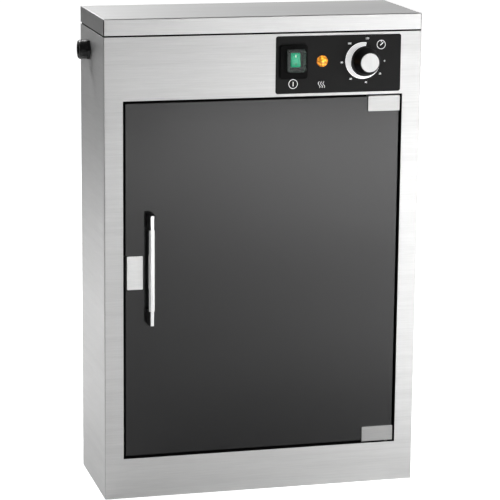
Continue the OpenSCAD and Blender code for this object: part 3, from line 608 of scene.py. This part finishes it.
# --- Handle ------------------------------------------------------------------------------------------
# A bright plated bar let into two black moulded posts, each drawn up through the glass by a screw.
def plated(name, color, rough):
    """Smooth bright metal whose gloss is broken a little by wiping."""
    material, make, link, skin = new_material(name)
    where = make("ShaderNodeTexCoord")
    wipe = noise(make, link, where.outputs["Object"], 60.0, 4)
    link(between(make, link, wipe, rough * 0.6, rough * 1.4, 0.3, 0.7), skin.inputs["Roughness"])
    skin.inputs["Base Color"].default_value = (*color, 1)
    skin.inputs["Metallic"].default_value = 1
    return material


bright_plate = plated("bright_plate", (0.86, 0.86, 0.86), 0.2)
rack_plate = plated("rack_plate", (0.72, 0.72, 0.71), 0.28)
fit(recast("plated_bar", "handle_bar", 0.25 * mm), "door", "chrome", bright_plate, "handle_bar")
fit(recast("moulded_posts", "handle_posts", 0.35 * mm), "door", "black_plastic", black_plastic,
    "handle_posts")
paint(rack_plate, "lower_rack", "middle_rack", "upper_rack")


# --- Control overlay ---------------------------------------------------------------------------------
# A printed film with rounded corners, stuck to the front. The scale, its numbers and the three symbols
# are printed on it in white ink, which is also given a painted glow.
film, _, _, film_skin = moulded("film", (0.015, 0.015, 0.015), 0.5, 0.05, 2500, 0.008 * mm)
film_skin.inputs["Specular IOR Level"].default_value = 0.12
glowing_ink, _, _, ink_glow_skin = moulded("white_ink_glow", (0.86, 0.86, 0.86), 0.6, 0.05, 2500, 0.004 * mm)
# Painted light: the white print glows, so that it stays bright in the front's shade
ink_glow_skin.inputs["Emission Color"].default_value = (1, 1, 1, 1)
ink_glow_skin.inputs["Emission Strength"].default_value = 0.5
film_low, film_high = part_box("control_overlay")


def middle(node):
    """The middle of a CAD node's box."""
    low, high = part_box(node)
    return (low + high) / 2


timer_x, control_z = middle("timer_knob").x, middle("timer_knob").z
lamp_x = middle("lamp_lens").x
switch_x, switch_z = middle("switch_boot").x, middle("switch_boot").z
print_y = film_low.y - 0.04 * mm
print_t = 0.05 * mm


def build_film():
    piece = block("printed_film", film_low, film_high)
    round_edges(piece, lambda c, d: abs(d.y) > 0.9, 3 * mm, 8)
    soften(piece, 0.12 * mm, 1)
    return piece


def lay(piece):
    """Stands a flat print, drawn in X and Y, upright on the film, and gives it the ink's thickness."""
    take(piece)
    piece.rotation_euler = (math.radians(90), 0, 0)
    settle(piece)
    thicken(piece, print_t, False)
    return piece


def ribbon(name, steps, left, right):
    """A flat strip between two lines; each gives x and y, in mm, for a part of the way from 0 to 1."""
    clear_selection()
    bpy.ops.mesh.primitive_grid_add(x_subdivisions=steps, y_subdivisions=1, size=1)
    piece = bpy.context.object
    piece.name = name
    for vert in piece.data.vertices:
        way = vert.co.x + 0.5
        side = right if vert.co.y < 0 else left
        vert.co.x, vert.co.y = (c * mm for c in side(way))
    return piece


def place_print(piece, x, z):
    """Moves a laid print to its place on the film."""
    piece.location = (x, print_y, z)
    return settle(piece)


def polar(radius, degrees):
    """X and Y of a point at this radius, turned left from the X axis."""
    return radius * math.cos(math.radians(degrees)), radius * math.sin(math.radians(degrees))


def build_scale():
    """The crescent round the knob, which narrows from the longest time to the shortest."""
    start, sweep = 79.5, 254.5
    outer, tip, growth = 22.7, 0.4, 11.6
    band = ribbon("timer_scale", 96, lambda t: polar(outer - tip - growth * (1 - t), start + sweep * t),
                  lambda t: polar(outer, start + sweep * t))
    return place_print(lay(band), timer_x - 0.6 * mm, control_z - 0.7 * mm)


def build_number(word, x, z):
    """A printed number with its middle at x and z."""
    clear_selection()
    bpy.ops.object.text_add()
    piece = bpy.context.object
    piece.name = "number_" + word
    piece.data.body = word
    piece.data.size = 3.1 * mm
    piece.data.align_x = "CENTER"
    piece.data.align_y = "CENTER"
    piece.data.offset = 0.03 * mm
    bpy.ops.object.convert(target="MESH")
    return place_print(lay(bpy.context.object), x, z)


def build_hoop(name, radius, line):
    """A flat printed ring."""
    clear_selection()
    bpy.ops.mesh.primitive_circle_add(vertices=48, radius=radius, fill_type="NGON")
    piece = bpy.context.object
    piece.name = name
    edit(piece, "FACE", lambda c, n: True)
    bpy.ops.mesh.inset(thickness=line)
    bpy.ops.mesh.delete(type="FACE")
    leave_edit()
    return lay(piece)


def bar(name, x0, y0, x1, y1, width):
    """A straight printed line, in mm."""
    half = Vector((x1 - x0, y1 - y0)).normalized() * width / 2

    def point(t, side):
        return x0 + (x1 - x0) * t + side * half.y, y0 + (y1 - y0) * t - side * half.x

    return lay(ribbon(name, 1, lambda t: point(t, -1), lambda t: point(t, 1)))


def wave(name, x, height, width):
    """An upright wavy printed line that leans to the left, in mm."""
    swing, turns, lean = 0.9, 1.15, 1.3

    def point(t, side):
        curve = swing * math.sin(t * 2 * math.pi * turns) + lean * (0.5 - t)
        return x + side * width / 2 + curve, (t - 0.5) * height

    return lay(ribbon(name, 28, lambda t: point(t, -1), lambda t: point(t, 1)))


def build_symbols():
    """Power under the switch, heat under the lamp and a clock beside the knob."""
    power = join(build_hoop("power_sign", 5.8 * mm, 0.6 * mm), bar("stroke", 0, -2.8, 0, 2.8, 0.9))
    heat = join(wave("heat_sign", -3.0, 7.8, 0.6), wave("middle", 0, 7.8, 0.6),
                wave("right", 3.0, 7.8, 0.6))
    clock = join(build_hoop("clock_sign", 5.65 * mm, 0.6 * mm), bar("crown", 0, 3.0, 0, 5.2, 0.6),
                 bar("hand", -1.2, -0.9, 2.6, 2.6, 0.9))
    place_print(power, middle("switch_frame").x, film_low.z + 12 * mm)
    place_print(heat, lamp_x - 0.5 * mm, film_low.z + 10.3 * mm)
    place_print(clock, timer_x + 22.4 * mm, control_z + 18.6 * mm)
    return power, heat, clock


fit(build_film(), "root", "overlay_film", film, "control_overlay")
fit(build_scale(), "root", "overlay_film", glowing_ink)
# Each number's radius in mm and its angle
number_spots = {"0": (27.3, 0), "20": (26.8, -36), "40": (26.2, -82), "60": (26.6, -127),
                "80": (27.7, -178.5), "100": (28.9, -231), "120": (28.7, -279)}
for word, spot in number_spots.items():
    across, upward = polar(*spot)
    fit(build_number(word, timer_x + (across - 0.1) * mm, control_z + (upward - 1.8) * mm),
        "root", "overlay_film", glowing_ink)
for sign in build_symbols():
    fit(sign, "root", "overlay_film", glowing_ink)


# --- Mains switch --------------------------------------------------------------------------------------
# A lit green rocker in a black body, under a splash boot of clear silicone that a black frame holds.
def boot_silicone():
    material, make, link, skin = moulded("clear_silicone", (0.55, 0.61, 0.59), 0.14, 0.05, 900)
    skin.inputs["Specular IOR Level"].default_value = 0.3
    edge = make("ShaderNodeLayerWeight")
    edge.inputs["Blend"].default_value = 0.3
    link(between(make, link, edge.outputs["Facing"], 0.02, 0.6), skin.inputs["Alpha"])
    return material


def inner_glow(make, link, where, place, reach, rim_color, core_color):
    """The colour of light that comes from a lamp inside a lens and fades within its reach."""
    centre = make("ShaderNodeMapping")
    centre.vector_type = "TEXTURE"
    centre.inputs["Location"].default_value = place
    centre.inputs["Scale"].default_value = reach
    link(where, centre.inputs["Vector"])
    ball = make("ShaderNodeTexGradient")
    ball.gradient_type = "SPHERICAL"
    link(centre.outputs["Vector"], ball.inputs["Vector"])
    glow = make("ShaderNodeMix")
    glow.data_type = "RGBA"
    glow.inputs[6].default_value = (*rim_color, 1)
    glow.inputs[7].default_value = (*core_color, 1)
    link(ball.outputs["Fac"], glow.inputs[0])
    return glow.outputs[2]


def lit_green():
    material, make, link, skin = moulded("lit_green", (0.005, 0.22, 0.12), 0.25, 0.04, 700)
    where = make("ShaderNodeTexCoord").outputs["Object"]
    glow = inner_glow(make, link, where, (switch_x, film_low.y - 6 * mm, switch_z + 1 * mm),
                      (7 * mm, 9 * mm, 11 * mm), (0.004, 0.24, 0.12), (0.02, 0.52, 0.27))
    link(glow, skin.inputs["Emission Color"])
    skin.inputs["Emission Strength"].default_value = 0.75
    return material


dull_plastic, _, _, dull_skin = moulded("dull_plastic", (0.002, 0.002, 0.002), 0.6)
dull_skin.inputs["Specular IOR Level"].default_value = 0.1
fit(recast("switch_bezel", "switch_frame", 0.7 * mm, 3), "root", "black_plastic", dull_plastic,
    "switch_frame")
fit(recast("splash_boot", "switch_boot", 0.6 * mm, 3), "root", "clear_silicone", boot_silicone(),
    "switch_boot")
fit(recast("lit_rocker", "rocker", 0.3 * mm, 2, 30), "rocker", "green_lens", lit_green(), "rocker")


def mark_rocker(mark, up, out, lean):
    """Lays a mark on the rocker, up and out from its pivot, leaning with that half of its face."""
    take(mark)
    mark.rotation_euler = (math.radians(lean), 0, 0)
    mark.location = (switch_x, film_low.y - out, switch_z + up)
    return settle(mark)


dark_mark = moulded("dark_mark", (0.01, 0.06, 0.04), 0.4)[0]
fit(mark_rocker(bar("on_mark", 0, -1.5, 0, 1.5, 0.8), 5.3 * mm, 4.1 * mm, 2.2), "rocker",
    "overlay_film", glowing_ink)
fit(mark_rocker(build_hoop("off_mark", 1.4 * mm, 0.55 * mm), -4.6 * mm, 5.62 * mm, -16.2), "rocker",
    "overlay_film", dark_mark)


# --- Pilot lamp ----------------------------------------------------------------------------------------
# A cut amber lens pressed into the panel, with a glow lamp behind it.
def lit_amber():
    material, make, link, skin = moulded("lit_amber", (0.45, 0.13, 0.004), 0.15, 0.04, 700)
    where = make("ShaderNodeTexCoord").outputs["Object"]
    glow = inner_glow(make, link, where, (lamp_x + 0.5 * mm, film_low.y - 2 * mm, control_z),
                      (8.6 * mm, 8.6 * mm, 8.6 * mm), (0.34, 0.075, 0.003), (1.0, 0.62, 0.06))
    # The cut of the lens breaks the lamp's light into bright and dark patches
    cut = make("ShaderNodeTexVoronoi")
    cut.inputs["Scale"].default_value = 330
    link(where, cut.inputs["Vector"])
    patch = make("ShaderNodeMix")
    patch.data_type = "RGBA"
    patch.blend_type = "MULTIPLY"
    patch.inputs[0].default_value = 1
    link(glow, patch.inputs[6])
    link(between(make, link, cut.outputs["Distance"], 1.6, 0.25, 0.1, 0.65), patch.inputs[7])
    link(patch.outputs[2], skin.inputs["Emission Color"])
    skin.inputs["Emission Strength"].default_value = 1.6
    return material


def rimmed_disc(name, low, high, sides, rim, sink, edge):
    """A round disc that fills the box from low to high, its face let in behind a raised rim."""
    clear_selection()
    bpy.ops.mesh.primitive_cylinder_add(vertices=sides, radius=(high.x - low.x) / 2, depth=high.y - low.y,
                                        location=(low + high) / 2, rotation=(math.radians(90), 0, 0))
    disc = settle(bpy.context.object)
    disc.name = name
    edit(disc, "FACE", lambda c, n: n.y < -0.9)
    bpy.ops.mesh.inset(thickness=rim)
    push(0, sink, 0)
    leave_edit()
    soften(disc, edge, 2)
    return disc


def build_lens():
    """A flat collar on the panel, and out of it the cut jewel: a stretched ball cut off behind its middle."""
    low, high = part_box("lamp_lens")
    collar_y, jewel_y, cut_y = high.y - 1.2 * mm, high.y - 1.0 * mm, high.y - 0.9 * mm
    jewel_radius = 5.9 * mm
    collar = rimmed_disc("amber_jewel", Vector((low.x, collar_y, low.z)), high, 40,
                         0.9 * mm, 0.35 * mm, 0.15 * mm)
    clear_selection()
    bpy.ops.mesh.primitive_uv_sphere_add(segments=12, ring_count=8, radius=1,
                                         location=(lamp_x, jewel_y, control_z),
                                         rotation=(math.radians(90), 0, 0))
    jewel = bpy.context.object
    jewel.scale = (jewel_radius, jewel_radius, jewel_y - low.y)
    settle(jewel)
    bpy.ops.object.mode_set(mode="EDIT")
    bpy.ops.mesh.select_all(action="SELECT")
    bpy.ops.mesh.bisect(plane_co=(0, cut_y, 0), plane_no=(0, 1, 0), use_fill=True, clear_outer=True)
    leave_edit()
    return join(collar, jewel)


fit(build_lens(), "root", "amber_lens", lit_amber(), "lamp_lens", smooth=8)
white_nylon = moulded("white_nylon", (0.72, 0.70, 0.63), 0.5)[0]
paint(white_nylon, "top_hinge_bush", "bottom_hinge_bush", "lamp_body", "terminal_block", "thermostat",
      "thermal_cutout")


# --- Timer knob ----------------------------------------------------------------------------------------
# A fluted black knob pushed onto the timer's shaft, with a spun aluminium disc glued into its face.
paint(black_plastic, "timer_knob")
spun_metal = brushed_metal("spun_metal", (0.60, 0.60, 0.596), (1, 1, 0.1), 0.36, 1500)
fit(rimmed_disc("spun_disc", *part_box("knob_cap"), 72, 0.7 * mm, 0.12 * mm, 0.18 * mm),
    "timer_dial", "knob_metal", spun_metal, "knob_cap")


# --- Cable gland ---------------------------------------------------------------------------------------
# A black nylon gland high on the left side: a hexagon flange, a smooth round nut and the rubber ring
# that closes on a cord.
gland_nylon = moulded("gland_nylon", (0.010, 0.010, 0.011), 0.34)[0]
fit(recast("gland_base", "gland_body", 0.3 * mm), "root", "black_plastic", gland_nylon, "gland_body")
fit(recast("gland_dome", "gland_nut", 0.3 * mm), "root", "black_plastic", gland_nylon, "gland_nut")


# --- Chamber and what lies behind the panels -----------------------------------------------------------
# The folded inner box, its rack rails and tray are plain stainless; the wool, the heater and the timer
# are out of sight behind them.
inner_steel = brushed_metal("inner_steel", (0.60, 0.60, 0.595), (1, 1, 0.05), 0.33, 600)
paint(inner_steel, "chamber_liner", "left_rack_rail", "right_rack_rail", "drip_tray")
paint(plain_steel, "heater_plate", "timer_body", "catch_magnet")
paint(moulded("mineral_wool", (0.55, 0.50, 0.30), 0.9, 0.05, 300, 0.4 * mm)[0], "insulation")
paint(plated("brass", (0.78, 0.57, 0.22), 0.3), "earth_stud")
